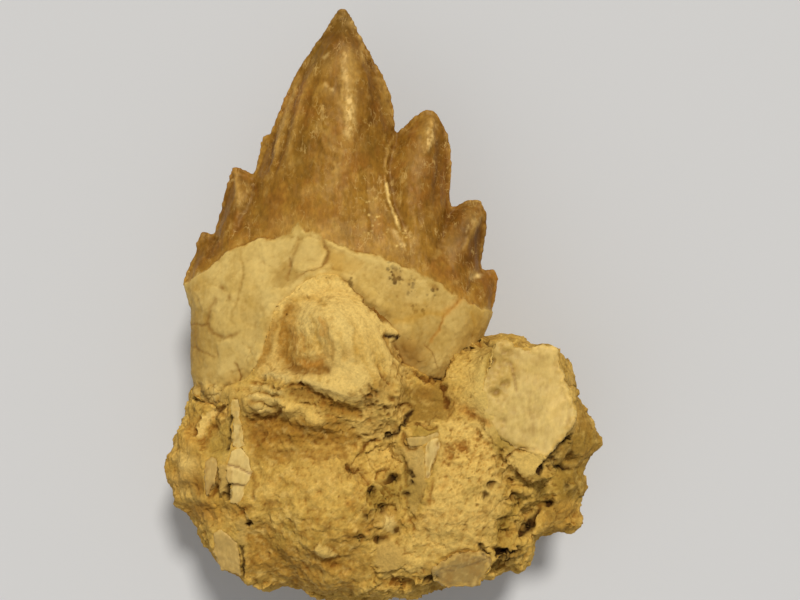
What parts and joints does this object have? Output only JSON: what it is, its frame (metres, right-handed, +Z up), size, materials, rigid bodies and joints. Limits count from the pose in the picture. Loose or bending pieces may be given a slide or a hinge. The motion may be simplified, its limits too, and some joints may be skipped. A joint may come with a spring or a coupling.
{
  "type": "fossil whale tooth in matrix",
  "caption": "Serrated fossil whale cheek tooth lying on its side, its pale root bedded in a lump of sandy rock with bone fragments.",
  "frame": {"origin": "bottom centre of the whole specimen's box, on the surface that it rests on", "axes": "+Y towards the tip of the main cusp, +X across the crown, +Z up out of the surface"},
  "size_m": [0.0862, 0.1172, 0.0428],
  "materials": {
    "tooth": "glossy golden-brown enamel above a pale cream root",
    "rock": "rough, porous, ochre and cream",
    "bone": "smooth, pale, finely cracked"
  },
  "bodies": {
    "root": {"tooth": "tooth", "matrix": "rock", "bone_slab": "bone", "bone_strip": "bone", "bone_chip": "bone", "root_shard_upper": "bone", "root_shard_blade": "bone", "root_shard_segmented": "bone", "root_shard_lower": "bone", "facet_block": "bone"}
  },
  "joints": []
}
